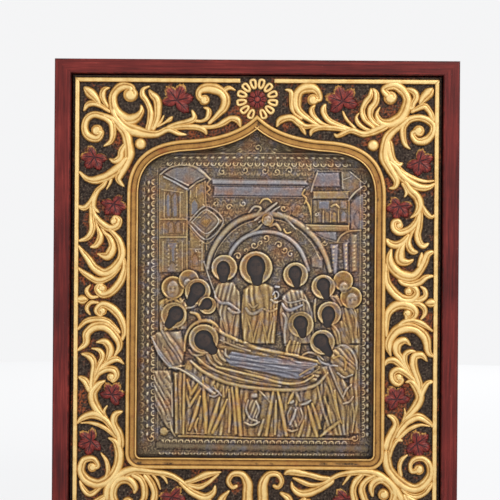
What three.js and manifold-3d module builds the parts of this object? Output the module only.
// Devotional icon: an embossed metal cover on a wooden panel, in a carved, gilt and lacquered frame.
// It stands upright: X to the right, Z up, the front looks along -Y, the origin is under the middle.
import * as THREE from "three";
import { mergeVertices } from "three/addons/utils/BufferGeometryUtils.js";
import Module from "manifold-3d";

const wasm = await Module();
wasm.setup();

// Frame as a whole, millimetres
const frameWidth = 250;
const frameHeight = 297;
const frameDepth = 26;

// Rim of four mitred rails
const sideRailWidth = 10;
const crossRailWidth = 8.9;
const railLedgeShare = 0.5;
const railEdge = 0.8;

// Carved board
const groundDepth = 4.5;
const boardThickness = 6;
const boardGap = 1;
const boardMargin = 1.4;
const stripWidth = 2.9;
const stripRise = 2.6;
const stripGap = 10.5;
const stripEdgeShare = 0.7;
const stripFlatShare = 0.25;
const carvingRise = 3.2;
const fullBreadth = 5;
const strokeFullnessShare = 1.2;
const leafRise = 2.4;
const leafGap = 0.2;

// Ogee opening: the borders beside and below the middle line of its moulding, and its curves
const sideBorder = 37.4;
const footBorder = 37.6;
const ogeeCornerRadius = 6;
const shoulderRise = 31;
const shoulderRun = 33.1;
const cuspRise = 14.6;
const mouldingWidth = 7.1;
const mouldingRise = 3.1;
const mouldingLining = 1.5;

// Rosette and bosses
const rosetteMargin = 0.35;
const cuspDrop = 13.8;
const petalRingRadius = 11.1;
const petalPitch = 28.8;
const petalLength = 5;
const petalLap = 0.38;
const petalWall = 1.5;
const petalRise = 1.7;
const flowerGap = 1.55;
const flowerRise = 2.2;
const bossRadius = 3.8;
const bossRise = 2.8;
const bossGap = 2.1;
const bossShare = 0.53;

// Icon panel, cover and the strips that house them
const panelSideLap = 3.4;
const panelFootLap = 3;
const panelTopLap = 1.9;
const panelThickness = 8;
const coverThickness = 0.6;
const coverFlange = 6.5;
const coverRise = 1;
const coverSink = 0.3;
const foldRiseShare = 1.5;
const haloRiseShare = 1.6;
const archRiseShare = 1.3;
const knobRiseShare = 2;
const faceCount = 2;
const faceShare = 0.6;
const windowNarrowingShare = 0.12;
const deepestCut = 4;
const sheetSideInset = 3.2;
const sheetFootInset = 3.4;
const sheetTopInset = 4.7;
const housingClearance = 0.8;

// Battens across the back of the panel
const battenWidth = 17;
const battenFlare = 1;
const battenThickness = 5;
const battenSink = 3.5;
const battenClearance = 0.2;
const battenShares = [0.26, 0.74];

// Tacks, turn buttons and their screws
const tackHeadRadius = 1.5;
const tackHead = 0.5;
const tackShankRadius = 0.5;
const tackLength = 4.5;
const tackClearance = 0.3;
const tackShares = [0.18, 0.82];
const buttonWidth = 9;
const buttonReach = 14;
const buttonThickness = 2;
const buttonPivotInset = 8;
const buttonShares = [0.13, 0.87];
const seatGap = 0.3;
const screwHeadRadius = 3;
const screwHead = 1.6;
const screwShankRadius = 1.5;
const screwSink = 5.5;
const boreClearance = 0.3;
const boreTip = 0.5;
const tackCrownShare = 0.6;
const screwTipShare = 0.4;
const screwRimShare = 0.4;
const levels = ["lower", "upper"];

// Hanging ring and its plate
const plateWidth = 13;
const plateThickness = 1;
const plateMargin = 1.65;
const plateScrewGap = 0.4;
const plateScrewSpacing = 1;
const plateScrewMargin = 4;
const plateScrewRadius = 1.1;
const plateScrewHeadRadius = 2;
const plateScrewHead = 1;
const knuckleRadius = 2.3;
const knuckleBore = 1.3;
const knuckleLength = 9;
const ringWire = 1;
const ringHalfWidth = 8;
const ringDrop = 14;
const ringCorner = 3;

// Smoothness of the curved forms
const mergeDistance = 1e-4;
const strokeStep = 6;
const coverStep = 18;
const fewestSteps = 2;
const curveSteps = 8;
const cornerSteps = 4;
const archSteps = 10;
const roundSides = 10;
const roomSides = 20;
const eyeSides = 7;
const haloSides = 9;
const windowSides = 8;
const petalSides = 6;
const wireSides = 6;
const tackSides = 6;

// Planes that lie behind each other, from the rim's face to the wall
const faceY = -frameDepth / 2;
const wallY = frameDepth / 2;
const groundY = faceY + groundDepth;
const boardBackY = groundY + boardThickness;
const coverBackY = boardBackY + coverThickness;
const panelBackY = coverBackY + panelThickness;

// Field that the scrolls fill, inside the border strip
const boardHalfWidth = frameWidth / 2 - sideRailWidth - boardGap;
const boardFoot = crossRailWidth + boardGap;
const boardTop = frameHeight - crossRailWidth - boardGap;
const fieldHalfWidth = boardHalfWidth - boardMargin - stripWidth;
const fieldFoot = boardFoot + boardMargin + stripWidth;
const fieldTop = boardTop - boardMargin - stripWidth;

// Rosette under the top edge of the board, ogee under the rosette, and the panel behind the ogee
const rosetteReach = petalRingRadius + petalLength / 2 + petalWall / 2;
const rosetteHeight = boardTop - rosetteMargin - rosetteReach;
const petalCount = Math.floor(THREE.MathUtils.radToDeg(2 * Math.PI) / petalPitch);
const petalChord = 2 * petalRingRadius * Math.sin(THREE.MathUtils.degToRad(petalPitch / 2));
const petalBreadth = petalChord - petalWall + petalLap;
const flowerRadius = petalRingRadius - petalLength / 2 - petalWall / 2 - flowerGap;
const ogeeHalfWidth = boardHalfWidth - sideBorder;
const ogeeFootHeight = boardFoot + footBorder;
const ogeeCuspHeight = rosetteHeight - cuspDrop;
const ogeeShoulderTop = ogeeCuspHeight - cuspRise;
const ogeeShoulderHeight = ogeeShoulderTop - shoulderRise;
const ogeeShoulderReach = ogeeHalfWidth - shoulderRun;
const mouldingHalf = mouldingWidth / 2;
const panelHalfWidth = ogeeHalfWidth + panelSideLap;
const panelFoot = ogeeFootHeight - panelFootLap;
const panelHeight = ogeeCuspHeight + panelTopLap - panelFoot;
const openingHalfWidth = ogeeHalfWidth - sheetSideInset;
const openingFoot = ogeeFootHeight + sheetFootInset;
const openingHeight = ogeeCuspHeight - sheetTopInset - openingFoot;

// A manifold solid from a three.js geometry, and back again. Triangles that collapse are dropped,
// so a row of points can close in a single point.
function solidFrom(geometry) {
  const bare = geometry.clone();
  bare.deleteAttribute("normal");
  bare.deleteAttribute("uv");
  const merged = mergeVertices(bare, mergeDistance);
  const index = merged.index.array;
  const kept = [];
  for (let i = 0; i < index.length; i += 3) {
    const [a, b, c] = index.subarray(i, i + 3);
    if (a !== b && b !== c && c !== a) kept.push(a, b, c);
  }
  return new wasm.Manifold(
    new wasm.Mesh({
      numProp: 3,
      vertProperties: merged.attributes.position.array,
      triVerts: new Uint32Array(kept),
    }),
  );
}

function geometryFrom(solid) {
  const mesh = solid.getMesh();
  const count = mesh.numVert;
  const points = new Float32Array(count * 3);
  for (let i = 0; i < count; i++) {
    points.set(mesh.vertProperties.subarray(i * mesh.numProp, i * mesh.numProp + 3), i * 3);
  }
  const geometry = new THREE.BufferGeometry();
  geometry.setAttribute("position", new THREE.BufferAttribute(points, 3));
  geometry.setIndex(new THREE.BufferAttribute(new Uint32Array(mesh.triVerts), 1));
  const flat = geometry.toNonIndexed();
  flat.computeVertexNormals();
  return flat;
}

const joined = (solids) => solids.reduce((whole, next) => whole.add(next));

// A closed solid skinned over rows of points. Every row is one closed section;
// the rows end in flat caps, or run round in a ring.
function skinned(rows, ring = false) {
  const across = rows[0].length;
  const points = new Float32Array(rows.flat().flatMap((p) => [p.x, p.y, p.z]));
  const index = [];
  const spans = ring ? rows.length : rows.length - 1;
  for (let i = 0; i < spans; i++) {
    const here = i * across;
    const next = ((i + 1) % rows.length) * across;
    for (let j = 0; j < across; j++) {
      const k = (j + 1) % across;
      index.push(here + j, here + k, next + k, here + j, next + k, next + j);
    }
  }
  if (!ring) {
    const last = spans * across;
    for (let j = 1; j < across - 1; j++) {
      index.push(0, j + 1, j, last, last + j, last + j + 1);
    }
  }
  if (enclosedVolume(points, index) < 0) index.reverse();
  const geometry = new THREE.BufferGeometry();
  geometry.setAttribute("position", new THREE.BufferAttribute(points, 3));
  geometry.setIndex(index);
  return solidFrom(geometry);
}

// Six times the signed volume inside a triangle mesh; it is negative when the faces look inwards.
function enclosedVolume(points, index) {
  const [a, b, c] = [new THREE.Vector3(), new THREE.Vector3(), new THREE.Vector3()];
  let sum = 0;
  for (let i = 0; i < index.length; i += 3) {
    a.fromArray(points, index[i] * 3);
    b.fromArray(points, index[i + 1] * 3);
    c.fromArray(points, index[i + 2] * 3);
    sum += a.dot(b.cross(c));
  }
  return sum;
}

function block(lowX, highX, lowY, highY, lowZ, highZ) {
  const box = new THREE.BoxGeometry(highX - lowX, highY - lowY, highZ - lowZ);
  box.translate((lowX + highX) / 2, (lowY + highY) / 2, (lowZ + highZ) / 2);
  return solidFrom(box);
}

// A flat plate: an outline drawn in X and Z, filled between two depths.
function plate(outline, nearY, farY) {
  const options = { depth: farY - nearY, bevelEnabled: false, curveSegments: cornerSteps + 1 };
  const geometry = new THREE.ExtrudeGeometry(outline, options);
  geometry.rotateX(Math.PI / 2);
  geometry.translate(0, farY, 0);
  return solidFrom(geometry);
}

const domeShares = [
  [0, 0],
  [1, 0],
  [0.7, 0.76],
  [0, 1],
];

// A low dome that stands on a depth and rises towards the front.
function dome(x, z, radius, rise, floorY, sides = roundSides) {
  const profile = domeShares.map(([out, up]) => [out * radius, -up * rise]);
  return turnedAlong(profile, place(x, floorY, z), towardsWall, sides);
}

// The ridged section of a carved stroke, as shares of its half breadth and of its rise.
const ridgeShares = [
  [1, 0],
  [0, 1],
  [-1, 0],
];
const tipRiseShare = 0.45;

// A carved stroke that follows a smooth curve through a few knots. A knot gives x, z and breadth,
// and the stroke is lower where it is narrower than breadthAtFullRise.
function stroke(knots, rise, breadthAtFullRise, floorY, step) {
  const through = knots.map(([x, z, breadth]) => new THREE.Vector3(x, breadth, z));
  const curve = new THREE.CatmullRomCurve3(through, false, "centripetal");
  const steps = Math.max(fewestSteps, Math.round(curve.getLength() / step));
  const spots = curve.getSpacedPoints(steps);
  const rows = spots.map((spot, i) => {
    const before = spots[Math.max(i - 1, 0)];
    const after = spots[Math.min(i + 1, steps)];
    const along = new THREE.Vector2(after.x - before.x, after.z - before.z).normalize();
    const half = spot.y / 2;
    const fullness = spot.y < breadthAtFullRise ? spot.y / breadthAtFullRise : 1;
    const height = rise * (tipRiseShare + (1 - tipRiseShare) * fullness);
    return ridgeShares.map(([sideways, up]) => {
      const x = spot.x - along.y * half * sideways;
      const z = spot.z + along.x * half * sideways;
      return new THREE.Vector3(x, floorY - height * up, z);
    });
  });
  return skinned(rows);
}

// The outward normals at the corners of a closed loop, lengthened so that offset sides stay parallel.
function mitres(loop) {
  return loop.map((spot, i) => {
    const before = loop[(i + loop.length - 1) % loop.length];
    const after = loop[(i + 1) % loop.length];
    const into = spot.clone().sub(before).normalize();
    const out = after.clone().sub(spot).normalize();
    const middle = new THREE.Vector2(into.y + out.y, -into.x - out.x).normalize();
    return middle.divideScalar(middle.dot(new THREE.Vector2(into.y, -into.x)));
  });
}

const offsetLoop = (loop, distance) => {
  const outward = mitres(loop);
  return loop.map((spot, i) => spot.clone().addScaledVector(outward[i], distance));
};

// A moulding that runs round a closed loop; its section gives outward offset and depth.
function loopMoulding(loop, section) {
  const outward = mitres(loop);
  const rows = loop.map((spot, i) =>
    section.map(([offset, y]) => {
      const place = spot.clone().addScaledVector(outward[i], offset);
      return new THREE.Vector3(place.x, y, place.y);
    }),
  );
  return skinned(rows, true);
}

// A straight bar between two corners of a rectangle, cut at both ends to meet its neighbours.
// The section gives inward offset and depth; a slant says how far an end moves in per unit of offset.
function mitredBar(start, end, inward, section, startSlant, endSlant) {
  const along = end.clone().sub(start).normalize();
  const ends = [
    [start, startSlant],
    [end, -endSlant],
  ];
  const rows = ends.map(([corner, slant]) =>
    section.map(([offset, y]) => {
      const place = corner.clone().addScaledVector(inward, offset).addScaledVector(along, offset * slant);
      return new THREE.Vector3(place.x, y, place.y);
    }),
  );
  return skinned(rows);
}

// A round hole or pin that runs along any axis: the profile gives radius and distance from the place.
function turnedAlong(profile, place, axis, sides = roundSides) {
  const points = profile.map(([radius, along]) => new THREE.Vector2(radius, along));
  const geometry = new THREE.LatheGeometry(points, sides);
  const turn = new THREE.Quaternion().setFromUnitVectors(new THREE.Vector3(0, 1, 0), axis);
  geometry.applyQuaternion(turn);
  geometry.translate(place.x, place.y, place.z);
  const solid = solidFrom(geometry);
  if (solid.volume() > 0) return solid;
  geometry.setIndex([...geometry.index.array].reverse());
  return solidFrom(geometry);
}

const rod = (radius, from, to) => [
  [0, from],
  [radius, from],
  [radius, to],
  [0, to],
];

const place = (x, y, z) => new THREE.Vector3(x, y, z);
const towardsWall = new THREE.Vector3(0, 1, 0);
const towardsRight = new THREE.Vector3(1, 0, 0);
const upwards = new THREE.Vector3(0, 0, 1);

// A closed ring or disc that stands on a depth: an oval loop with a ridged section.
function ovalRing(x, z, across, along, turnAngle, wall, floorY, rise, sides) {
  const loop = [];
  for (let i = 0; i < sides; i++) {
    const angle = (i / sides) * 2 * Math.PI;
    const spot = new THREE.Vector2(Math.cos(angle) * across, Math.sin(angle) * along);
    spot.rotateAround(new THREE.Vector2(), turnAngle);
    loop.push(spot.add(new THREE.Vector2(x, z)));
  }
  const section = [
    [wall / 2, floorY],
    [0, floorY - rise],
    [-wall / 2, floorY],
  ];
  return loopMoulding(loop, section);
}

// Rim: four rails in an L section, whose ledge carries the carved board from behind
function railSection(width) {
  return [
    [0, wallY],
    [0, faceY + railEdge],
    [railEdge, faceY],
    [width - railEdge, faceY],
    [width, faceY + railEdge],
    [width, boardBackY],
    [width * (1 + railLedgeShare), boardBackY],
    [width * (1 + railLedgeShare), wallY],
  ];
}

function rail(side) {
  const right = frameWidth / 2;
  const rectangle = {
    left: [[-right, 0], [-right, frameHeight], [1, 0], sideRailWidth, crossRailWidth],
    right: [[right, 0], [right, frameHeight], [-1, 0], sideRailWidth, crossRailWidth],
    top: [[-right, frameHeight], [right, frameHeight], [0, -1], crossRailWidth, sideRailWidth],
    bottom: [[-right, 0], [right, 0], [0, 1], crossRailWidth, sideRailWidth],
  };
  const [start, end, inward, width, neighbour] = rectangle[side];
  const slant = neighbour / width;
  const [from, to, facing] = [start, end, inward].map((pair) => new THREE.Vector2(...pair));
  return mitredBar(from, to, facing, railSection(width), slant, slant);
}

// Middle line of the moulding round the ogee opening
const shoulderCurveShares = [
  [1, 0.6],
  [0.72, 0.955],
];
const ogeeCurveShares = [
  [0.583, 0.07],
  [0.237, 0.35],
];

const springing = new THREE.Vector2(ogeeHalfWidth, ogeeShoulderHeight);
const crown = new THREE.Vector2(ogeeShoulderReach, ogeeShoulderTop);
const shoulderKnots = shoulderCurveShares.map(
  ([x, z]) => new THREE.Vector2(ogeeShoulderReach + x * shoulderRun, ogeeShoulderHeight + z * shoulderRise),
);
const shoulder = new THREE.CubicBezierCurve(springing, ...shoulderKnots, crown);

function ogeeLoop() {
  const half = [];
  for (let i = 0; i <= cornerSteps; i++) {
    const angle = (i / cornerSteps - 1) * (Math.PI / 2);
    const x = ogeeHalfWidth - ogeeCornerRadius * (1 - Math.cos(angle));
    const z = ogeeFootHeight + ogeeCornerRadius * (1 + Math.sin(angle));
    half.push(new THREE.Vector2(x, z));
  }
  const ogee = ogeeCurveShares.map(
    ([x, z]) => new THREE.Vector2(x * ogeeShoulderReach, ogeeShoulderTop + z * cuspRise),
  );
  const cusp = new THREE.Vector2(0, ogeeCuspHeight);
  const swept = new THREE.CubicBezierCurve(crown, ...ogee, cusp);
  half.push(...shoulder.getSpacedPoints(curveSteps));
  half.push(...swept.getSpacedPoints(curveSteps).slice(1));
  const mirrored = half
    .slice(0, -1)
    .reverse()
    .map((spot) => new THREE.Vector2(-spot.x, spot.y));
  return [...half, ...mirrored];
}

const ogee = ogeeLoop();

// A boss stands outside the moulding, square to its shoulder
const bossReach = mouldingHalf + bossGap + bossRadius;
const shoulderWay = shoulder.getTangentAt(bossShare);
const bossPlace = shoulder.getPointAt(bossShare);
bossPlace.add(new THREE.Vector2(shoulderWay.y, -shoulderWay.x).multiplyScalar(bossReach));

// The moulding: an outer bead, a hollow and a fine inner bead, with a lining through the board
const mouldingSectionShares = [
  [1, 0],
  [1, 0.52],
  [0.79, 0.94],
  [0.45, 1],
  [0.17, 0.61],
  [-0.25, 0.48],
  [-0.62, 0.61],
  [-0.82, 0.84],
  [-1, 0.71],
];
const mouldingSection = [
  ...mouldingSectionShares.map(([out, up]) => [out * mouldingHalf, groundY - up * mouldingRise]),
  [-mouldingHalf, boardBackY],
  [mouldingLining - mouldingHalf, boardBackY],
  [mouldingLining - mouldingHalf, groundY],
];
const moulding = loopMoulding(ogee, mouldingSection);

// Carved board: a flat ground with the ogee opening
function boardOutline() {
  const outline = new THREE.Shape([
    new THREE.Vector2(-boardHalfWidth, boardFoot),
    new THREE.Vector2(boardHalfWidth, boardFoot),
    new THREE.Vector2(boardHalfWidth, boardTop),
    new THREE.Vector2(-boardHalfWidth, boardTop),
  ]);
  outline.holes.push(new THREE.Path(offsetLoop(ogee, mouldingLining + seatGap - mouldingHalf)));
  return outline;
}
const groundBoard = plate(boardOutline(), groundY, boardBackY);

// Room that the scrolls leave round the moulding, the rosette, the bosses and the leaves
const mouldingRoom = plate(
  new THREE.Shape(offsetLoop(ogee, mouldingHalf + seatGap)),
  groundY - carvingRise - coverRise,
  groundY + coverRise,
);
function roomFor(x, z, radius) {
  const flatToCorner = Math.cos(Math.PI / roomSides);
  const profile = rod((radius + seatGap) / flatToCorner, -carvingRise - coverRise, coverRise);
  return turnedAlong(profile, place(x, groundY, z), towardsWall, roomSides);
}
const rosetteRoom = roomFor(0, rosetteHeight, rosetteReach);

// Scrolls over the opening
const topStrokeShares = [
  // corner leaf
  [[0.977, 0.987, 0.017], [0.941, 0.974, 0.051], [0.907, 0.959, 0.034], [0.884, 0.943, 0.022]],
  // corner petal
  [
    [0.839, 0.938, 0.022], [0.867, 0.959, 0.028], [0.873, 0.97, 0.034], [0.862, 0.981, 0.028],
    [0.829, 0.985, 0.008],
  ],
  // corner crescent
  [
    [0.822, 0.929, 0.017], [0.873, 0.942, 0.022], [0.912, 0.948, 0.028], [0.951, 0.947, 0.028],
    [0.979, 0.931, 0.011],
  ],
  // great scroll
  [
    [0.705, 0.986, 0.028], [0.761, 0.989, 0.045], [0.806, 0.973, 0.039], [0.814, 0.952, 0.045],
    [0.794, 0.929, 0.051], [0.737, 0.913, 0.056], [0.681, 0.917, 0.045], [0.651, 0.932, 0.028],
    [0.656, 0.948, 0.008],
  ],
  // lower stem
  [
    [0.811, 0.941, 0.028], [0.788, 0.918, 0.039], [0.748, 0.9, 0.051], [0.697, 0.888, 0.056],
    [0.63, 0.881, 0.045], [0.574, 0.879, 0.034], [0.529, 0.886, 0.028], [0.501, 0.891, 0.028],
    [0.439, 0.881, 0.022], [0.394, 0.879, 0.008],
  ],
  // thin leaf
  [[0.619, 0.886, 0.017], [0.585, 0.895, 0.017], [0.546, 0.907, 0.017], [0.524, 0.924, 0.008]],
  // leaf stalk
  [[0.568, 0.895, 0.011], [0.518, 0.907, 0.014], [0.49, 0.914, 0.022], [0.473, 0.921, 0.011]],
  // left flame
  [
    [0.619, 0.884, 0.028], [0.6, 0.918, 0.034], [0.603, 0.939, 0.028], [0.626, 0.957, 0.028],
    [0.646, 0.969, 0.028], [0.643, 0.981, 0.022], [0.604, 0.991, 0.008],
  ],
  // right flame
  [
    [0.591, 0.886, 0.022], [0.563, 0.918, 0.034], [0.558, 0.939, 0.039], [0.564, 0.957, 0.039],
    [0.592, 0.971, 0.034], [0.612, 0.982, 0.011],
  ],
  // upper branch
  [
    [0.512, 0.893, 0.022], [0.456, 0.903, 0.022], [0.4, 0.907, 0.028], [0.355, 0.917, 0.028],
    [0.367, 0.937, 0.011],
  ],
  // bud
  [
    [0.361, 0.912, 0.017], [0.316, 0.91, 0.017], [0.282, 0.917, 0.022], [0.271, 0.928, 0.028],
    [0.277, 0.937, 0.022], [0.305, 0.942, 0.008],
  ],
  // lower branch
  [
    [0.501, 0.892, 0.022], [0.406, 0.897, 0.028], [0.338, 0.896, 0.028], [0.299, 0.889, 0.028],
    [0.282, 0.878, 0.008],
  ],
  // hook scroll
  [
    [0.326, 0.965, 0.028], [0.329, 0.976, 0.034], [0.306, 0.986, 0.045], [0.256, 0.987, 0.051],
    [0.199, 0.977, 0.045], [0.177, 0.958, 0.045], [0.187, 0.94, 0.039], [0.221, 0.926, 0.028],
    [0.276, 0.903, 0.017],
  ],
  // hook tip
  [[0.199, 0.977, 0.022], [0.16, 0.987, 0.022], [0.121, 0.981, 0.008]],
  // arched leaf
  [
    [0.321, 0.896, 0.022], [0.231, 0.899, 0.022], [0.187, 0.908, 0.034], [0.148, 0.917, 0.028],
    [0.108, 0.913, 0.034], [0.091, 0.894, 0.008],
  ],
];

// Scrolls beside the opening
const sideStrokeShares = [
  // corner spiral
  [
    [0.874, 0.883, 0.022], [0.899, 0.868, 0.034], [0.955, 0.876, 0.039], [0.973, 0.897, 0.034],
    [0.956, 0.915, 0.034], [0.911, 0.923, 0.034], [0.861, 0.919, 0.034], [0.821, 0.906, 0.034],
    [0.81, 0.888, 0.034], [0.82, 0.865, 0.028], [0.865, 0.85, 0.008],
  ],
  // main stem
  [
    [0.872, 0.922, 0.028], [0.816, 0.913, 0.034], [0.776, 0.897, 0.039], [0.742, 0.881, 0.045],
    [0.725, 0.861, 0.051], [0.719, 0.838, 0.051], [0.729, 0.817, 0.045], [0.763, 0.792, 0.039],
    [0.779, 0.776, 0.034], [0.745, 0.757, 0.008],
  ],
  // hook leaf
  [
    [0.736, 0.858, 0.022], [0.764, 0.84, 0.034], [0.769, 0.826, 0.034], [0.802, 0.817, 0.028],
    [0.833, 0.823, 0.008],
  ],
  // great crescent
  [
    [0.724, 0.826, 0.034], [0.785, 0.796, 0.051], [0.841, 0.782, 0.051], [0.903, 0.773, 0.039],
    [0.953, 0.775, 0.028], [1.004, 0.793, 0.011],
  ],
  // thin leaf
  [[0.813, 0.787, 0.017], [0.824, 0.769, 0.017], [0.846, 0.75, 0.008]],
  // second stem
  [
    [0.841, 0.78, 0.017], [0.857, 0.764, 0.022], [0.896, 0.748, 0.028], [0.918, 0.729, 0.034],
    [0.924, 0.713, 0.034], [0.884, 0.697, 0.008],
  ],
  // strip branch
  [[0.896, 0.746, 0.022], [0.941, 0.72, 0.028], [0.969, 0.709, 0.028], [1.008, 0.713, 0.017]],
  // upper spiral
  [
    [0.929, 0.716, 0.022], [0.909, 0.693, 0.022], [0.855, 0.668, 0.039], [0.816, 0.662, 0.034],
    [0.782, 0.668, 0.034], [0.771, 0.682, 0.028], [0.8, 0.688, 0.017],
  ],
  // outer frond
  [
    [0.93, 0.72, 0.022], [0.929, 0.684, 0.028], [0.923, 0.661, 0.034], [0.95, 0.64, 0.028],
    [1.006, 0.632, 0.011],
  ],
  // middle frond
  [
    [0.912, 0.697, 0.017], [0.895, 0.665, 0.017], [0.877, 0.642, 0.034], [0.899, 0.624, 0.034],
    [0.939, 0.618, 0.008],
  ],
  // inner frond
  [
    [0.895, 0.684, 0.011], [0.861, 0.656, 0.017], [0.827, 0.64, 0.028], [0.809, 0.62, 0.039],
    [0.837, 0.599, 0.045], [0.899, 0.603, 0.008],
  ],
  // upper bow
  [
    [0.867, 0.672, 0.017], [0.81, 0.654, 0.022], [0.77, 0.631, 0.034], [0.756, 0.601, 0.039],
    [0.792, 0.574, 0.045], [0.853, 0.56, 0.045], [0.909, 0.571, 0.039], [0.949, 0.594, 0.034],
    [1.006, 0.624, 0.011],
  ],
  // upper crescent
  [
    [1.008, 0.573, 0.011], [0.954, 0.555, 0.028], [0.892, 0.541, 0.034], [0.819, 0.551, 0.028],
    [0.758, 0.576, 0.017],
  ],
  // upper middle scroll
  [
    [0.753, 0.604, 0.017], [0.741, 0.572, 0.028], [0.768, 0.537, 0.039], [0.818, 0.515, 0.039],
    [0.869, 0.509, 0.034], [0.897, 0.523, 0.028], [0.875, 0.535, 0.017],
  ],
  // upper fleur
  [[0.862, 0.51, 0.022], [0.93, 0.505, 0.022], [0.953, 0.518, 0.022], [0.931, 0.533, 0.008]],
  // diamond
  [[1.012, 0.498, 0.022], [0.975, 0.498, 0.045], [0.942, 0.498, 0.011]],
  // lower fleur
  [[0.861, 0.485, 0.022], [0.93, 0.491, 0.022], [0.952, 0.477, 0.022], [0.93, 0.461, 0.008]],
  // lower middle scroll
  [
    [0.754, 0.402, 0.017], [0.738, 0.425, 0.028], [0.767, 0.459, 0.039], [0.818, 0.481, 0.039],
    [0.868, 0.486, 0.034], [0.896, 0.473, 0.028], [0.873, 0.461, 0.017],
  ],
  // lower crescent
  [
    [1.007, 0.426, 0.011], [0.957, 0.447, 0.028], [0.896, 0.453, 0.028], [0.828, 0.448, 0.028],
    [0.76, 0.42, 0.017],
  ],
  // lower bow
  [
    [1.009, 0.378, 0.011], [0.956, 0.397, 0.034], [0.951, 0.42, 0.039], [0.907, 0.436, 0.045],
    [0.85, 0.436, 0.045], [0.794, 0.418, 0.039], [0.765, 0.393, 0.034], [0.798, 0.365, 0.008],
  ],
  // first frond
  [
    [0.9, 0.399, 0.008], [0.85, 0.402, 0.034], [0.818, 0.386, 0.039], [0.832, 0.363, 0.028],
    [0.876, 0.335, 0.017], [0.915, 0.3, 0.017],
  ],
  // second frond
  [
    [0.928, 0.385, 0.008], [0.877, 0.381, 0.022], [0.86, 0.367, 0.028], [0.888, 0.342, 0.022],
    [0.915, 0.31, 0.017],
  ],
  // outer stem
  [
    [0.984, 0.374, 0.008], [0.939, 0.369, 0.034], [0.91, 0.353, 0.034], [0.915, 0.323, 0.028],
    [0.92, 0.287, 0.034],
  ],
  // side leaf
  [
    [0.736, 0.349, 0.008], [0.776, 0.36, 0.028], [0.815, 0.358, 0.034], [0.865, 0.342, 0.022],
    [0.904, 0.314, 0.011],
  ],
  // lower spiral
  [
    [0.915, 0.3, 0.011], [0.882, 0.328, 0.028], [0.831, 0.339, 0.034], [0.792, 0.335, 0.034],
    [0.781, 0.321, 0.028], [0.803, 0.31, 0.017],
  ],
  // fork
  [[0.997, 0.321, 0.017], [0.96, 0.312, 0.034], [0.926, 0.284, 0.034]],
  // lower stem
  [
    [0.842, 0.312, 0.008], [0.881, 0.303, 0.034], [0.914, 0.282, 0.045], [0.903, 0.257, 0.045],
    [0.846, 0.225, 0.028],
  ],
  // thin tendril
  [[0.83, 0.255, 0.008], [0.849, 0.241, 0.017], [0.823, 0.211, 0.017]],
  // great leaf
  [
    [1.006, 0.211, 0.011], [0.975, 0.225, 0.028], [0.913, 0.233, 0.039], [0.846, 0.223, 0.034],
    [0.772, 0.182, 0.022],
  ],
  // great leaf lip
  [[0.986, 0.213, 0.008], [0.924, 0.214, 0.017], [0.845, 0.203, 0.022], [0.772, 0.177, 0.017]],
  // long leaf
  [
    [0.742, 0.241, 0.011], [0.784, 0.233, 0.034], [0.795, 0.218, 0.034], [0.761, 0.184, 0.039],
    [0.754, 0.154, 0.045],
  ],
  // foot spiral
  [
    [0.828, 0.18, 0.011], [0.789, 0.172, 0.028], [0.763, 0.145, 0.045], [0.77, 0.115, 0.045],
    [0.82, 0.085, 0.051], [0.882, 0.073, 0.051], [0.944, 0.083, 0.045], [0.978, 0.105, 0.039],
    [0.962, 0.128, 0.034], [0.906, 0.131, 0.028], [0.883, 0.115, 0.022],
  ],
  // foot leaf
  [[0.867, 0.147, 0.008], [0.832, 0.124, 0.022], [0.826, 0.101, 0.022], [0.843, 0.083, 0.022]],
];

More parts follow.
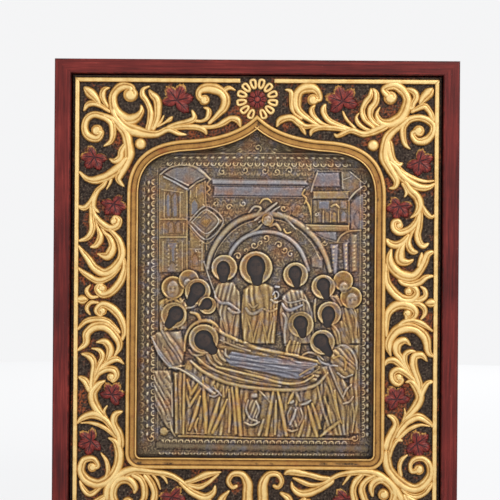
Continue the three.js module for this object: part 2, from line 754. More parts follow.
// Scrolls under the opening
const bottomStrokeShares = [
  // corner crescent
  [
    [0.986, 0.082, 0.011], [0.96, 0.062, 0.028], [0.926, 0.05, 0.028], [0.87, 0.064, 0.022],
    [0.831, 0.078, 0.022],
  ],
  // corner petal
  [
    [0.825, 0.053, 0.022], [0.847, 0.035, 0.028], [0.853, 0.023, 0.034], [0.841, 0.013, 0.028],
    [0.802, 0.008, 0.008],
  ],
  // corner leaf
  [[0.979, 0.006, 0.017], [0.92, 0.02, 0.051], [0.881, 0.035, 0.034], [0.831, 0.048, 0.022]],
  // great arch
  [
    [0.825, 0.035, 0.045], [0.82, 0.062, 0.051], [0.776, 0.088, 0.051], [0.692, 0.105, 0.045],
    [0.613, 0.104, 0.034], [0.529, 0.1, 0.028], [0.461, 0.093, 0.028], [0.376, 0.07, 0.022],
  ],
  // inner arch
  [
    [0.679, 0.051, 0.011], [0.674, 0.067, 0.034], [0.714, 0.084, 0.045], [0.77, 0.081, 0.045],
    [0.797, 0.055, 0.039], [0.78, 0.028, 0.039], [0.729, 0.014, 0.034], [0.684, 0.026, 0.017],
  ],
  // left flame
  [
    [0.697, 0.099, 0.028], [0.641, 0.086, 0.034], [0.618, 0.065, 0.034], [0.623, 0.04, 0.034],
    [0.656, 0.021, 0.022], [0.645, 0.008, 0.008],
  ],
  // right flame
  [
    [0.624, 0.099, 0.028], [0.584, 0.079, 0.034], [0.561, 0.056, 0.034], [0.572, 0.033, 0.034],
    [0.6, 0.015, 0.022], [0.583, 0.005, 0.008],
  ],
  // thin leaf
  [[0.579, 0.099, 0.017], [0.551, 0.083, 0.017], [0.528, 0.061, 0.008]],
  // second thin leaf
  [[0.534, 0.097, 0.017], [0.506, 0.088, 0.017], [0.489, 0.074, 0.008]],
  // upper lobe
  [[0.399, 0.077, 0.022], [0.326, 0.086, 0.028], [0.27, 0.097, 0.034], [0.186, 0.104, 0.011]],
  // lower lobe
  [[0.393, 0.075, 0.017], [0.315, 0.069, 0.028], [0.264, 0.077, 0.022], [0.197, 0.1, 0.011]],
  // curled leaf
  [
    [0.427, 0.084, 0.022], [0.359, 0.059, 0.034], [0.28, 0.045, 0.039], [0.23, 0.057, 0.028],
    [0.219, 0.073, 0.008],
  ],
  // hook scroll
  [
    [0.308, 0.029, 0.028], [0.308, 0.013, 0.034], [0.252, 0.009, 0.039], [0.196, 0.022, 0.045],
    [0.179, 0.043, 0.034], [0.14, 0.062, 0.011],
  ],
  // hook root
  [[0.28, 0.045, 0.022], [0.235, 0.032, 0.022], [0.196, 0.022, 0.022]],
  // centre scroll
  [
    [0.038, -0.002, 0.051], [0.039, 0.041, 0.051], [0.04, 0.078, 0.045], [0.074, 0.098, 0.034],
    [0.124, 0.098, 0.028], [0.147, 0.082, 0.025], [0.124, 0.068, 0.022], [0.093, 0.073, 0.017],
  ],
];

// Round eyes of the spirals: distance from the axis, height and radius
const eyeShares = [
  [0.713, 0.971, 0.039],
  [0.297, 0.959, 0.028],
  [0.902, 0.888, 0.031],
  [0.802, 0.678, 0.022],
  [0.864, 0.523, 0.024],
  [0.862, 0.472, 0.024],
  [0.811, 0.32, 0.024],
  [0.914, 0.112, 0.025],
  [0.713, 0.031, 0.031],
  [0.289, 0.031, 0.025],
];

// Vine leaves: distance from the axis, height, reach, and the direction of the stalk in degrees
const leafShares = [
  [0.452, 0.958, 0.087, 250],
  [0.915, 0.826, 0.072, 55],
  [0.806, 0.718, 0.069, 110],
  [0.808, 0.279, 0.069, 240],
  [0.923, 0.172, 0.073, 20],
  [0.466, 0.045, 0.073, 110],
];

// The scroll pattern keeps its size in the borders and stretches only along the straight sides:
// a share up to an inner share lies beside the opening, and one beyond it lies in the border.
const innerSideShare = 0.7;
const lowerFieldShare = 0.124;
const upperFieldShare = 0.74;
const between = (share, low, high, from, to) => from + ((share - low) / (high - low)) * (to - from);
const scrollSize = (fieldHalfWidth - ogeeHalfWidth) / (1 - innerSideShare);
const strokeSize = scrollSize * strokeFullnessShare;

function fieldX(share, side) {
  if (share < innerSideShare) return side * between(share, 0, innerSideShare, 0, ogeeHalfWidth);
  return side * between(share, innerSideShare, 1, ogeeHalfWidth, fieldHalfWidth);
}

function fieldZ(share) {
  if (share < lowerFieldShare) return between(share, 0, lowerFieldShare, fieldFoot, ogeeFootHeight);
  if (share > upperFieldShare) return between(share, upperFieldShare, 1, ogeeShoulderHeight, fieldTop);
  return between(share, lowerFieldShare, upperFieldShare, ogeeFootHeight, ogeeShoulderHeight);
}

// Border strip of one half: the side piece, the top piece up to the rosette and the bottom piece
function borderStrip(side) {
  const outerX = side * (fieldHalfWidth + stripWidth);
  const footZ = fieldFoot - stripWidth;
  const topZ = fieldTop + stripWidth;
  const section = [
    [0, groundY],
    [0, groundY - stripRise * stripEdgeShare],
    [stripWidth * stripFlatShare, groundY - stripRise],
    [stripWidth * (1 - stripFlatShare), groundY - stripRise],
    [stripWidth, groundY - stripRise * stripEdgeShare],
    [stripWidth, groundY],
  ];
  const footCorner = new THREE.Vector2(outerX, footZ);
  const topCorner = new THREE.Vector2(outerX, topZ);
  const inward = new THREE.Vector2(-side, 0);
  const topEnd = new THREE.Vector2(side * stripGap, topZ);
  const footEnd = new THREE.Vector2(0, footZ);
  return joined([
    mitredBar(footCorner, topCorner, inward, section, 1, 1),
    mitredBar(topCorner, topEnd, new THREE.Vector2(0, -1), section, 1, 0),
    mitredBar(footCorner, footEnd, new THREE.Vector2(0, 1), section, 1, 0),
  ]);
}

// One half of the gilt scroll relief
function relief(side) {
  const strokes = [...topStrokeShares, ...sideStrokeShares, ...bottomStrokeShares].map((knots) =>
    stroke(
      knots.map(([x, z, breadth]) => [fieldX(x, side), fieldZ(z), breadth * strokeSize]),
      carvingRise,
      fullBreadth,
      groundY,
      strokeStep,
    ),
  );
  const eyes = eyeShares.map(([x, z, radius]) =>
    dome(fieldX(x, side), fieldZ(z), radius * scrollSize, carvingRise, groundY, eyeSides),
  );
  const whole = joined([borderStrip(side), ...strokes, ...eyes]);
  const boss = roomFor(side * bossPlace.x, bossPlace.y, bossRadius);
  const leafRooms = leafShares.map((shares) => leafRoom(shares, side));
  const beyond = [0, -side * frameWidth].sort((a, b) => a - b);
  const otherHalf = block(...beyond, groundY - carvingRise - coverRise, groundY + coverRise, 0, frameHeight);
  return whole.subtract(joined([mouldingRoom, rosetteRoom, boss, otherHalf, ...leafRooms]));
}

// Outline of half a vine leaf: share of a half turn from its tip, and share of its reach
const leafOutlineShares = [
  [0, 1],
  [0.07, 0.8],
  [0.16, 0.5],
  [0.24, 0.74],
  [0.32, 0.92],
  [0.4, 0.72],
  [0.5, 0.42],
  [0.58, 0.62],
  [0.67, 0.76],
  [0.78, 0.58],
  [0.88, 0.34],
];
const leafStalkShare = 0.16;
const leafCrownShare = 0.55;
const leafHollowShare = 0.7;

// Points of a leaf's outline, at a scale from its middle, with the share of the reach of each
function leafOutline([across, up, reachShare, stalkDegrees], side, scale) {
  const reach = reachShare * scrollSize * scale;
  const stalk = THREE.MathUtils.degToRad(stalkDegrees);
  const tipTurn = Math.atan2(-Math.sin(stalk), side * Math.cos(stalk));
  const halfTurns = leafOutlineShares.map(([turnShare, share]) => [turnShare * Math.PI, share]);
  const stalkPoint = [[Math.PI, leafStalkShare]];
  const otherHalf = halfTurns
    .slice(1)
    .reverse()
    .map(([angle, share]) => [-angle, share]);
  return [...halfTurns, ...stalkPoint, ...otherHalf].map(([angle, share]) => {
    const x = fieldX(across, side) + Math.cos(tipTurn + angle) * reach * share;
    const z = fieldZ(up) + Math.sin(tipTurn + angle) * reach * share;
    return [new THREE.Vector2(x, z), share];
  });
}

function leafRoom(shares, side) {
  const outline = leafOutline(shares, side, 1).map(([spot]) => spot);
  const turned = THREE.ShapeUtils.isClockWise(outline) ? outline.reverse() : outline;
  const room = new THREE.Shape(offsetLoop(turned, leafGap));
  return plate(room, groundY - carvingRise - coverRise, groundY + coverRise);
}

function leaf(shares, side) {
  const row = (scale, height) =>
    leafOutline(shares, side, scale).map(([spot, share]) =>
      place(spot.x, groundY - height(share) * leafRise, spot.y),
    );
  return skinned([
    row(0, () => 0),
    row(1, () => 0),
    row(leafCrownShare, (share) => leafCrownShare + (1 - leafCrownShare) * share),
    row(0, () => leafHollowShare),
  ]);
}

// Rosette: a ring of petals that touch each other, and a lobed flower in the middle
function petalRing() {
  const petals = [];
  for (let i = 0; i < petalCount; i++) {
    const step = i - petalCount / 2 + 1 / 2;
    const angle = Math.PI / 2 + THREE.MathUtils.degToRad(step * petalPitch);
    const x = Math.cos(angle) * petalRingRadius;
    const z = rosetteHeight + Math.sin(angle) * petalRingRadius;
    petals.push(
      ovalRing(x, z, petalLength / 2, petalBreadth / 2, angle, petalWall, groundY, petalRise, petalSides),
    );
  }
  return joined(petals).subtract(mouldingRoom);
}

const flowerLobes = 7;
const flowerLobeShare = 0.45;
const flowerHeartShare = 0.42;

function flower() {
  const ringRadius = flowerRadius * (1 - flowerLobeShare);
  const lobes = [dome(0, rosetteHeight, flowerRadius * flowerHeartShare, flowerRise, groundY)];
  for (let i = 0; i < flowerLobes; i++) {
    const angle = Math.PI / 2 + (i / flowerLobes) * 2 * Math.PI;
    const x = Math.cos(angle) * ringRadius;
    const z = rosetteHeight + Math.sin(angle) * ringRadius;
    lobes.push(dome(x, z, flowerRadius * flowerLobeShare, flowerRise * leafHollowShare, groundY, eyeSides));
  }
  return joined(lobes);
}

// Large embossed forms of the cover: a share of the cover rise, then knots across, up and breadth
const coverStrokeShares = [
  // left bead row
  [0.8, [-0.922, 0.857, 0.017], [-0.925, 0.481, 0.017], [-0.924, 0.08, 0.017]],
  // right bead row
  [0.8, [0.961, 0.773, 0.017], [0.96, 0.454, 0.017], [0.944, 0.084, 0.017]],
  // top bead row
  [0.8, [-0.747, 0.918, 0.017], [0, 0.917, 0.017], [0.765, 0.915, 0.017]],
  // left rib
  [0.8, [-0.872, 0.869, 0.029], [-0.871, 0.481, 0.029], [-0.869, 0.086, 0.029]],
  // right rib
  [0.8, [0.917, 0.855, 0.029], [0.909, 0.485, 0.029], [0.894, 0.09, 0.029]],
  // top rib
  [0.8, [-0.814, 0.901, 0.029], [0.001, 0.901, 0.029], [0.799, 0.899, 0.029]],
  // foot rib
  [0.8, [-0.818, 0.05, 0.029], [0.022, 0.043, 0.029], [0.87, 0.047, 0.029]],
  // foot band
  [1, [-0.826, 0.033, 0.034], [0.022, 0.029, 0.034], [0.904, 0.028, 0.034]],
  // ground line
  [1, [-0.642, 0.068, 0.021], [0.021, 0.061, 0.021], [0.533, 0.059, 0.021]],
  // left roof
  [
    1.2, [-0.83, 0.863, 0.034], [-0.712, 0.879, 0.05], [-0.578, 0.885, 0.05], [-0.477, 0.873, 0.05],
    [-0.393, 0.846, 0.025],
  ],
  // left eaves
  [1.2, [-0.821, 0.845, 0.025], [-0.593, 0.82, 0.034], [-0.409, 0.846, 0.025]],
  // right cornice
  [1.4, [0.473, 0.807, 0.05], [0.776, 0.804, 0.05]],
  // right lower cornice
  [1.4, [0.409, 0.708, 0.05], [0.795, 0.706, 0.05]],
  // right roof
  [1.2, [0.784, 0.8, 0.034], [0.918, 0.84, 0.034]],
  // first column
  [1.2, [0.657, 0.66, 0.059], [0.681, 0.569, 0.05]],
  // second column
  [1.2, [0.745, 0.669, 0.059], [0.752, 0.569, 0.05]],
  // angel wing
  [1.4, [0.047, 0.747, 0.025], [0.113, 0.765, 0.042], [0.172, 0.777, 0.025]],
  // angel body
  [1.6, [0.147, 0.744, 0.05], [0.114, 0.723, 0.05], [0.165, 0.695, 0.025]],
  // angel second wing
  [1.2, [0.004, 0.771, 0.025], [0.055, 0.759, 0.034], [0.08, 0.744, 0.025]],
  // central robe
  [2, [0.01, 0.537, 0.101], [0.019, 0.483, 0.21], [0.021, 0.416, 0.227], [0.006, 0.346, 0.185]],
  // left apostle robe
  [1.8, [-0.284, 0.537, 0.084], [-0.266, 0.488, 0.168], [-0.223, 0.427, 0.134], [-0.162, 0.361, 0.076]],
  // right apostle robe
  [1.8, [0.338, 0.517, 0.084], [0.347, 0.474, 0.185], [0.298, 0.404, 0.118], [0.292, 0.331, 0.134]],
  // staff
  [1.4, [-0.42, 0.597, 0.017], [-0.368, 0.533, 0.017], [-0.308, 0.47, 0.017]],
  // left elder cloak
  [1.4, [-0.778, 0.484, 0.067], [-0.811, 0.435, 0.076], [-0.835, 0.39, 0.05]],
  // left shoulder
  [1.5, [-0.627, 0.472, 0.067], [-0.568, 0.454, 0.084], [-0.475, 0.43, 0.101]],
  // left bowed cloak
  [1.8, [-0.717, 0.39, 0.118], [-0.699, 0.344, 0.185], [-0.665, 0.299, 0.101]],
  // left sleeve
  [1.8, [-0.859, 0.365, 0.05], [-0.791, 0.323, 0.084], [-0.664, 0.287, 0.05]],
  // kneeling cloak
  [1.4, [-0.547, 0.305, 0.067], [-0.463, 0.281, 0.084], [-0.336, 0.26, 0.05]],
  // right cloak
  [1.6, [0.81, 0.436, 0.101], [0.811, 0.393, 0.151], [0.761, 0.357, 0.101]],
  // right middle robe
  [1.6, [0.718, 0.417, 0.084], [0.736, 0.381, 0.101], [0.694, 0.351, 0.067]],
  // right lower robe
  [1.8, [0.712, 0.332, 0.084], [0.738, 0.296, 0.151], [0.756, 0.247, 0.067]],
  // weeping sleeve
  [1.8, [0.342, 0.356, 0.05], [0.317, 0.338, 0.092], [0.3, 0.322, 0.067]],
  // bier rim
  [
    1.7, [-0.314, 0.373, 0.034], [-0.128, 0.34, 0.034], [0.057, 0.326, 0.034], [0.292, 0.31, 0.034],
    [0.561, 0.29, 0.034], [0.713, 0.266, 0.017],
  ],
  // shrouded body
  [
    2.1, [-0.278, 0.297, 0.084], [-0.127, 0.294, 0.126], [0.083, 0.282, 0.143], [0.335, 0.271, 0.118],
    [0.52, 0.277, 0.05],
  ],
  // bier rail
  [
    1.8, [-0.598, 0.311, 0.042], [-0.462, 0.263, 0.05], [-0.252, 0.23, 0.05], [0.017, 0.215, 0.05],
    [0.379, 0.213, 0.05], [0.563, 0.241, 0.025],
  ],
  // candlestick
  [2.2, [-0.698, 0.281, 0.025], [-0.529, 0.245, 0.042], [-0.318, 0.197, 0.034]],
  // child left
  [1.6, [0.01, 0.17, 0.067], [-0.006, 0.137, 0.101], [-0.047, 0.094, 0.059]],
  // child right
  [1.6, [0.329, 0.174, 0.042], [0.347, 0.137, 0.076], [0.314, 0.095, 0.059]],
];

// Robe folds: across and up at the top, across and up at the hem, and breadth
const foldShares = [
  [-0.822, 0.226, -0.795, 0.147, 0.05],
  [-0.746, 0.19, -0.727, 0.105, 0.042],
  [-0.621, 0.244, -0.609, 0.093, 0.046],
  [-0.554, 0.22, -0.527, 0.166, 0.042],
  [-0.486, 0.19, -0.525, 0.099, 0.042],
  [-0.436, 0.208, -0.416, 0.081, 0.042],
  [-0.309, 0.178, -0.374, 0.081, 0.042],
  [-0.242, 0.166, -0.299, 0.087, 0.038],
  [-0.175, 0.179, -0.155, 0.072, 0.042],
  [-0.142, 0.215, -0.097, 0.076, 0.042],
  [0.062, 0.112, 0.046, 0.07, 0.042],
  [0.16, 0.207, 0.138, 0.076, 0.042],
  [0.219, 0.201, 0.273, 0.07, 0.042],
  [0.405, 0.15, 0.382, 0.065, 0.042],
  [0.472, 0.156, 0.55, 0.077, 0.042],
  [0.564, 0.18, 0.583, 0.095, 0.038],
  [0.648, 0.168, 0.684, 0.102, 0.038],
  [0.698, 0.187, 0.725, 0.126, 0.042],
  [0.774, 0.187, 0.817, 0.12, 0.042],
];

// Buildings and the bare title band: left, foot, right, top, and a share of the cover rise
const buildingShares = [
  [-0.4, 0.797, 0.422, 0.854, 1.1],
  [-0.822, 0.572, -0.61, 0.815, 0.7],
  [-0.584, 0.767, -0.426, 0.828, 1.1],
  [-0.604, 0.578, -0.456, 0.682, 0.7],
  [0.49, 0.824, 0.715, 0.876, 1.1],
  [0.484, 0.717, 0.767, 0.794, 0.8],
  [0.803, 0.7, 0.893, 0.794, 0.9],
  [0.806, 0.575, 0.879, 0.688, 0.7],
];

// Haloes with a window: across, up, ring radius, ring breadth, half width and half height of the window
const haloShares = [
  [0.004, 0.581, 0.126, 0.038, 0.077, 0.113],
  [-0.281, 0.576, 0.097, 0.034, 0.057, 0.08],
  [0.328, 0.558, 0.094, 0.03, 0.059, 0.076],
  [-0.494, 0.51, 0.092, 0.03, 0.063, 0.071],
  [-0.417, 0.466, 0.074, 0.025, 0.059, 0.046],
  [-0.672, 0.433, 0.094, 0.03, 0.067, 0.084],
  [-0.435, 0.356, 0.107, 0.032, 0.082, 0.088],
  [0.581, 0.52, 0.097, 0.03, 0.057, 0.084],
  [0.629, 0.437, 0.086, 0.03, 0.057, 0.088],
  [0.391, 0.398, 0.099, 0.032, 0.059, 0.092],
  [0.573, 0.344, 0.094, 0.03, 0.063, 0.088],
];

// Haloes round embossed heads: across, up, ring radius and ring breadth
const plainHaloShares = [
  [-0.704, 0.52, 0.097, 0.03],
  [0.817, 0.486, 0.094, 0.03],
  [-0.566, 0.548, 0.088, 0.029],
  [0.745, 0.527, 0.076, 0.029],
];

// Arches behind the figures: across, up, radius, breadth, first and last direction in degrees
const archShares = [
  [0.102, 0.553, 0.533, 0.038, 155, 5],
  [0.093, 0.565, 0.348, 0.032, 157, -2],
];

// Embossed heads and knobs: across, up and radius
const knobShares = [
  [-0.773, 0.079, 0.039],
  [0.01, 0.188, 0.044],
  [0.329, 0.177, 0.027],
  [0.097, 0.727, 0.03],
  [0.211, 0.529, 0.022],
];
const coverX = (share) => share * openingHalfWidth;
const coverZ = (share) => openingFoot + share * openingHeight;
const coverY = boardBackY;

// Metal cover: a sheet with embossed forms, windows for the painted faces and edges turned back
function metalCover() {
  const sideX = panelHalfWidth + coverThickness;
  const footZ = panelFoot - coverThickness;
  const topZ = panelFoot + panelHeight + coverThickness;
  const flangeY = coverBackY + coverFlange;
  const shell = block(-sideX, sideX, coverY, flangeY, footZ, topZ);
  const inside = block(
    -panelHalfWidth,
    panelHalfWidth,
    coverBackY,
    flangeY + coverThickness,
    panelFoot,
    panelFoot + panelHeight,
  );
  const forms = [shell.subtract(inside), coverForms().intersect(coverRoom)];
  const windows = haloShares.map((shares) => faceWindow(...shares));
  const tackHoles = tackSpots().map(([spot, outward]) =>
    turnedAlong(rod(tackShankRadius + tackClearance, -coverFlange, coverFlange), spot, outward),
  );
  return joined(forms).subtract(joined([...windows, ...tackHoles]));
}

// The forms stay inside the moulding's lining
const coverRoom = plate(
  new THREE.Shape(offsetLoop(ogee, -mouldingHalf - seatGap)),
  coverY - deepestCut,
  coverBackY,
);

function coverForms() {
  const embossed = (rise, knots) =>
    stroke(
      knots.map(([x, z, breadth]) => [coverX(x), coverZ(z), breadth * openingHalfWidth]),
      rise * coverRise,
      0,
      coverY + coverSink,
      coverStep,
    );
  const strokes = coverStrokeShares.map(([rise, ...knots]) => embossed(rise, knots));
  const folds = foldShares.map(([topX, topZ, hemX, hemZ, breadth]) =>
    embossed(foldRiseShare, [
      [topX, topZ, breadth],
      [hemX, hemZ, breadth],
    ]),
  );
  const buildings = buildingShares.map(([left, foot, right, top, rise]) =>
    block(
      coverX(left),
      coverX(right),
      coverY - rise * coverRise,
      coverY + coverSink,
      coverZ(foot),
      coverZ(top),
    ),
  );
  const haloes = [...haloShares, ...plainHaloShares].map(([x, z, radius, breadth]) => {
    const reach = radius * openingHalfWidth;
    const wall = breadth * openingHalfWidth;
    const rise = haloRiseShare * coverRise + coverSink;
    return ovalRing(coverX(x), coverZ(z), reach, reach, 0, wall, coverY + coverSink, rise, haloSides);
  });
  const knobRise = knobRiseShare * coverRise;
  const heads = plainHaloShares.slice(0, faceCount).map(([x, z, radius]) => [x, z, radius * faceShare]);
  const knobs = [...knobShares, ...heads].map(([x, z, radius]) =>
    dome(coverX(x), coverZ(z), radius * openingHalfWidth, knobRise, coverY + coverSink, eyeSides),
  );
  const arches = archShares.map(([x, z, radius, breadth, first, last]) => {
    const knots = [];
    for (let i = 0; i <= archSteps; i++) {
      const angle = THREE.MathUtils.degToRad(first + ((last - first) * i) / archSteps);
      const up = z + (Math.sin(angle) * radius * openingHalfWidth) / openingHeight;
      knots.push([x + Math.cos(angle) * radius, up, breadth]);
    }
    return embossed(archRiseShare, knots);
  });
  return joined([...strokes, ...folds, ...buildings, ...haloes, ...knobs, ...arches]);
}

// A face window: an oval that narrows towards the neck
function faceWindow(x, z, haloRadius, haloWall, halfWidth, halfHeight) {
  const outline = new THREE.Shape();
  for (let i = 0; i < windowSides; i++) {
    const angle = (i / windowSides) * 2 * Math.PI;
    const narrowing = 1 - windowNarrowingShare * (1 - Math.sin(angle));
    const across = Math.cos(angle) * halfWidth * openingHalfWidth * narrowing;
    const up = Math.sin(angle) * halfHeight * openingHalfWidth;
    if (i === 0) outline.moveTo(coverX(x) + across, coverZ(z) + up);
    else outline.lineTo(coverX(x) + across, coverZ(z) + up);
  }
  return plate(outline, coverY - deepestCut, coverBackY + deepestCut);
}

// Tacks through the turned-back edge: where each one enters the panel, and the way it points out
function tackSpots() {
  const middleY = coverBackY + coverFlange / 2;
  const spots = [];
  for (const share of tackShares) {
    const x = panelHalfWidth * (2 * share - 1);
    const z = panelFoot + panelHeight * share;
    spots.push([place(panelHalfWidth, middleY, z), towardsRight]);
    spots.push([place(-panelHalfWidth, middleY, z), towardsRight.clone().negate()]);
    spots.push([place(x, middleY, panelFoot + panelHeight), upwards]);
    spots.push([place(x, middleY, panelFoot), upwards.clone().negate()]);
  }
  return spots;
}

const tackProfile = [
  [0, -tackLength],
  [tackShankRadius, -tackLength + tackShankRadius],
  [tackShankRadius, coverThickness],
  [tackHeadRadius, coverThickness],
  [tackHeadRadius * tackCrownShare, coverThickness + tackHead],
  [0, coverThickness + tackHead],
];

// Icon panel with two dovetailed battens let into its back
const battenHeights = battenShares.map((share) => panelFoot + share * panelHeight);

function battenSolid(z, halfLength, clearance) {
  const surfaceHalf = battenWidth / 2 - battenFlare / 2 + clearance;
  const floorHalf = battenWidth / 2 + battenFlare / 2 + clearance;
  const floorY = panelBackY - battenSink - clearance;
  const backY = floorY + battenThickness + 2 * clearance;
  const rows = [-halfLength, halfLength].map((x) => [
    place(x, panelBackY, z - surfaceHalf),
    place(x, floorY, z - floorHalf),
    place(x, floorY, z + floorHalf),
    place(x, panelBackY, z + surfaceHalf),
    place(x, backY, z + surfaceHalf),
    place(x, backY, z - surfaceHalf),
  ]);
  return skinned(rows);
}

function iconPanel() {
  const body = block(
    -panelHalfWidth,
    panelHalfWidth,
    coverBackY,
    panelBackY,
    panelFoot,
    panelFoot + panelHeight,
  );
  const grooves = battenHeights.map((z) => battenSolid(z, panelHalfWidth + coverFlange, battenClearance));
  const bores = tackSpots().map(([spot, outward]) =>
    turnedAlong(rod(tackShankRadius + tackClearance, -tackLength - boreTip, tackLength), spot, outward),
  );
  return body.subtract(joined([...grooves, ...bores]));
}

// Strips behind the board that house the panel, with bores for the screws
const housingInnerX = panelHalfWidth + coverThickness + housingClearance;
const housingOuterX = frameWidth / 2 - sideRailWidth * (1 + railLedgeShare);
const housingFoot = crossRailWidth * (1 + railLedgeShare);
const housingTop = frameHeight - housingFoot;
const housingLowEdge = panelFoot - coverThickness - housingClearance;
const housingHighEdge = panelFoot + panelHeight + coverThickness + housingClearance;
const pivotX = housingInnerX + buttonPivotInset;
const highScrewHeight = housingTop - plateMargin - plateScrewMargin;
const lowScrewHeight = highScrewHeight - 2 * plateScrewHeadRadius - plateScrewSpacing;
const plateScrewHeights = [lowScrewHeight, highScrewHeight];
const plateFoot = lowScrewHeight - plateScrewHeadRadius - plateScrewGap - 2 * knuckleRadius;
const plateTop = housingTop - plateMargin;
const pivotHeights = buttonShares.map((share) => panelFoot + share * panelHeight);
const buttonY = panelBackY + seatGap;
const screwHeadY = buttonY + buttonThickness + seatGap;

function sideHousing(side) {
  const edges = [side * housingInnerX, side * housingOuterX].sort((a, b) => a - b);
  const strip = block(edges[0], edges[1], boardBackY, panelBackY, housingFoot, housingTop);
  const bores = pivotHeights.map((z) => {
    const profile = rod(screwShankRadius + boreClearance, -screwSink - boreTip, screwSink);
    return turnedAlong(profile, place(side * pivotX, panelBackY, z), towardsWall);
  });
  return strip.subtract(joined(bores));
}

function topHousing() {
  const strip = block(
    -housingInnerX,
    housingInnerX,
    boardBackY,
    panelBackY,
    housingHighEdge,
    housingTop,
  );
  const bores = plateScrewHeights.map((z) => {
    const profile = rod(plateScrewRadius + boreClearance, -screwSink - boreTip, screwSink);
    return turnedAlong(profile, place(0, panelBackY, z), towardsWall);
  });
  return strip.subtract(joined(bores));
}

const bottomHousing = block(
  -housingInnerX,
  housingInnerX,
  boardBackY,
  panelBackY,
  housingFoot,
  housingLowEdge,
);

// A turn button: a rounded arm that reaches from its screw over the edge of the panel
function turnButton(side, z) {
  const half = buttonWidth / 2;
  const arm = new THREE.Shape();
  arm.absarc(0, 0, half, -Math.PI / 2, Math.PI / 2, false);
  arm.lineTo(half - buttonReach, half);
  arm.absarc(half - buttonReach, 0, half, Math.PI / 2, (Math.PI * 3) / 2, false);
  const hole = new THREE.Path();
  hole.absarc(0, 0, screwShankRadius + boreClearance, 0, 2 * Math.PI, false);
  arm.holes.push(hole);
  const button = plate(arm, buttonY, buttonY + buttonThickness);
  const turned = side < 0 ? button.mirror([1, 0, 0]) : button;
  return turned.translate([side * pivotX, 0, z]);
}

// A screw with a domed head whose underside stands at a depth
function screw(x, z, headY, headRadius, headHeight, shankRadius) {
  const tipY = panelBackY - screwSink;
  const profile = [
    [0, tipY],
    [shankRadius * screwTipShare, tipY],
    [shankRadius, tipY + shankRadius],
    [shankRadius, headY],
    [headRadius, headY],
    [headRadius, headY + headHeight * screwRimShare],
    [headRadius * tackCrownShare, headY + headHeight],
    [0, headY + headHeight],
  ];
  return turnedAlong(profile, place(x, 0, z), towardsWall);
}

// Hanger: a plate with a knuckle for the ring
const knuckleHeight = plateFoot + knuckleRadius;
const knuckleY = panelBackY + knuckleRadius + seatGap;

function hangerPlate() {
  const body = block(
    -plateWidth / 2,
    plateWidth / 2,
    panelBackY,
    panelBackY + plateThickness,
    plateFoot,
    plateTop,
  );
  const along = rod(knuckleRadius, -knuckleLength / 2, knuckleLength / 2);
  const knuckle = turnedAlong(along, place(0, knuckleY, knuckleHeight), towardsRight);
  const bore = turnedAlong(
    rod(knuckleBore, -plateWidth, plateWidth),
    place(0, knuckleY, knuckleHeight),
    towardsRight,
  );
  const holes = plateScrewHeights.map((z) =>
    turnedAlong(
      rod(plateScrewRadius + boreClearance, -plateThickness, 2 * plateThickness),
      place(0, panelBackY, z),
      towardsWall,
    ),
  );
  return joined([body, knuckle]).subtract(joined([bore, ...holes]));
}

// D-shaped wire ring: straight through the knuckle, then a bow below it
function hangingRing() {
  const bowRadius = ringHalfWidth - ringWire;
  const half = [new THREE.Vector2(0, knuckleHeight)];
  for (let i = 0; i <= cornerSteps; i++) {
    const angle = (1 - i / cornerSteps) * (Math.PI / 2);
    const x = ringHalfWidth - ringCorner + Math.cos(angle) * ringCorner;
    const z = knuckleHeight - ringCorner + Math.sin(angle) * ringCorner;
    half.push(new THREE.Vector2(x, z));
  }
  for (let i = 0; i <= cornerSteps; i++) {
    const angle = (i / cornerSteps) * (Math.PI / 2);
    const x = Math.cos(angle) * ringHalfWidth;
    const z = knuckleHeight - ringDrop + bowRadius - Math.sin(angle) * bowRadius;
    half.push(new THREE.Vector2(x, z));
  }
  const mirrored = half
    .slice(1, -1)
    .reverse()
    .map((spot) => new THREE.Vector2(-spot.x, spot.y));
  const loop = [...half, ...mirrored].reverse();
  const section = [];
  for (let i = 0; i < wireSides; i++) {
    const angle = (i / wireSides) * 2 * Math.PI;
    section.push([Math.cos(angle) * ringWire, knuckleY + Math.sin(angle) * ringWire]);
  }
  return loopMoulding(loop, section);
}

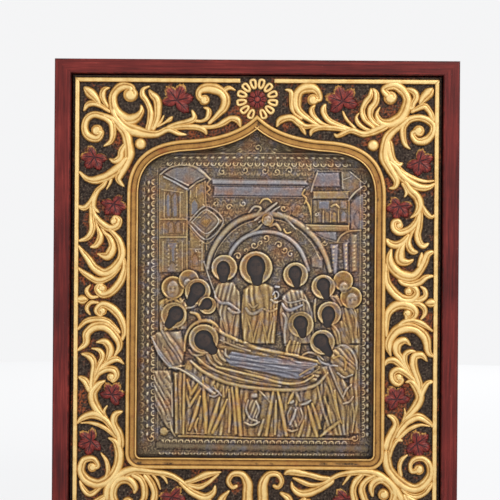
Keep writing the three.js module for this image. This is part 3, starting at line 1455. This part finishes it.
// Finishes
const lacquer = new THREE.MeshStandardMaterial({ color: 0x6e2622, roughness: 0.45, metalness: 0 });
const ground = new THREE.MeshStandardMaterial({ color: 0x1c1714, roughness: 0.75, metalness: 0 });
const gilding = new THREE.MeshStandardMaterial({ color: 0xc8964a, roughness: 0.42, metalness: 0.35 });
const leafRed = new THREE.MeshStandardMaterial({ color: 0x7c2520, roughness: 0.5, metalness: 0 });
const patina = new THREE.MeshStandardMaterial({ color: 0x7f7256, roughness: 0.42, metalness: 0.75 });
const painted = new THREE.MeshStandardMaterial({ color: 0x3a2f2c, roughness: 0.6, metalness: 0 });
const bareWood = new THREE.MeshStandardMaterial({ color: 0xb08a5a, roughness: 0.7, metalness: 0 });
const brass = new THREE.MeshStandardMaterial({ color: 0xb08d4a, roughness: 0.35, metalness: 0.9 });
const steel = new THREE.MeshStandardMaterial({ color: 0x9a9a98, roughness: 0.35, metalness: 0.9 });

const icon = new THREE.Group();
icon.name = "framed_icon";

function put(name, solid, material) {
  const mesh = new THREE.Mesh(geometryFrom(solid), material.clone());
  mesh.name = name;
  icon.add(mesh);
}

for (const side of ["left", "right", "top", "bottom"]) put(`rail_${side}`, rail(side), lacquer);
put("ground_board", groundBoard, ground);
put("moulding", moulding, gilding);
put("rosette_petals", petalRing(), gilding);
put("rosette_flower", flower(), leafRed);
put("metal_cover", metalCover(), patina);
put("icon_panel", iconPanel(), painted);
put("housing_top", topHousing(), bareWood);
put("housing_bottom", bottomHousing, bareWood);

const halves = [
  ["left", -1],
  ["right", 1],
];
for (const [word, side] of halves) {
  put(`relief_${word}`, relief(side), gilding);
  put(`boss_${word}`, dome(side * bossPlace.x, bossPlace.y, bossRadius, bossRise, groundY), gilding);
  put(`housing_${word}`, sideHousing(side), bareWood);
  leafShares.forEach((shares, i) => put(`leaf_${word}_${i + 1}`, leaf(shares, side), leafRed));
  pivotHeights.forEach((z, i) => {
    const level = levels[i];
    put(`button_${level}_${word}`, turnButton(side, z), brass);
    const head = screw(side * pivotX, z, screwHeadY, screwHeadRadius, screwHead, screwShankRadius);
    put(`button_screw_${level}_${word}`, head, steel);
  });
}

battenHeights.forEach((z, i) => {
  put(`batten_${levels[i]}`, battenSolid(z, panelHalfWidth - battenClearance, 0), bareWood);
});
tackSpots().forEach(([spot, outward], i) => {
  put(`tack_${i + 1}`, turnedAlong(tackProfile, spot, outward, tackSides), brass);
});

put("hanger_plate", hangerPlate(), steel);
plateScrewHeights.forEach((z, i) => {
  const headY = panelBackY + plateThickness + seatGap;
  const pin = screw(0, z, headY, plateScrewHeadRadius, plateScrewHead, plateScrewRadius);
  put(`plate_screw_${levels[i]}`, pin, steel);
});
put("hanging_ring", hangingRing(), steel);

export default icon;
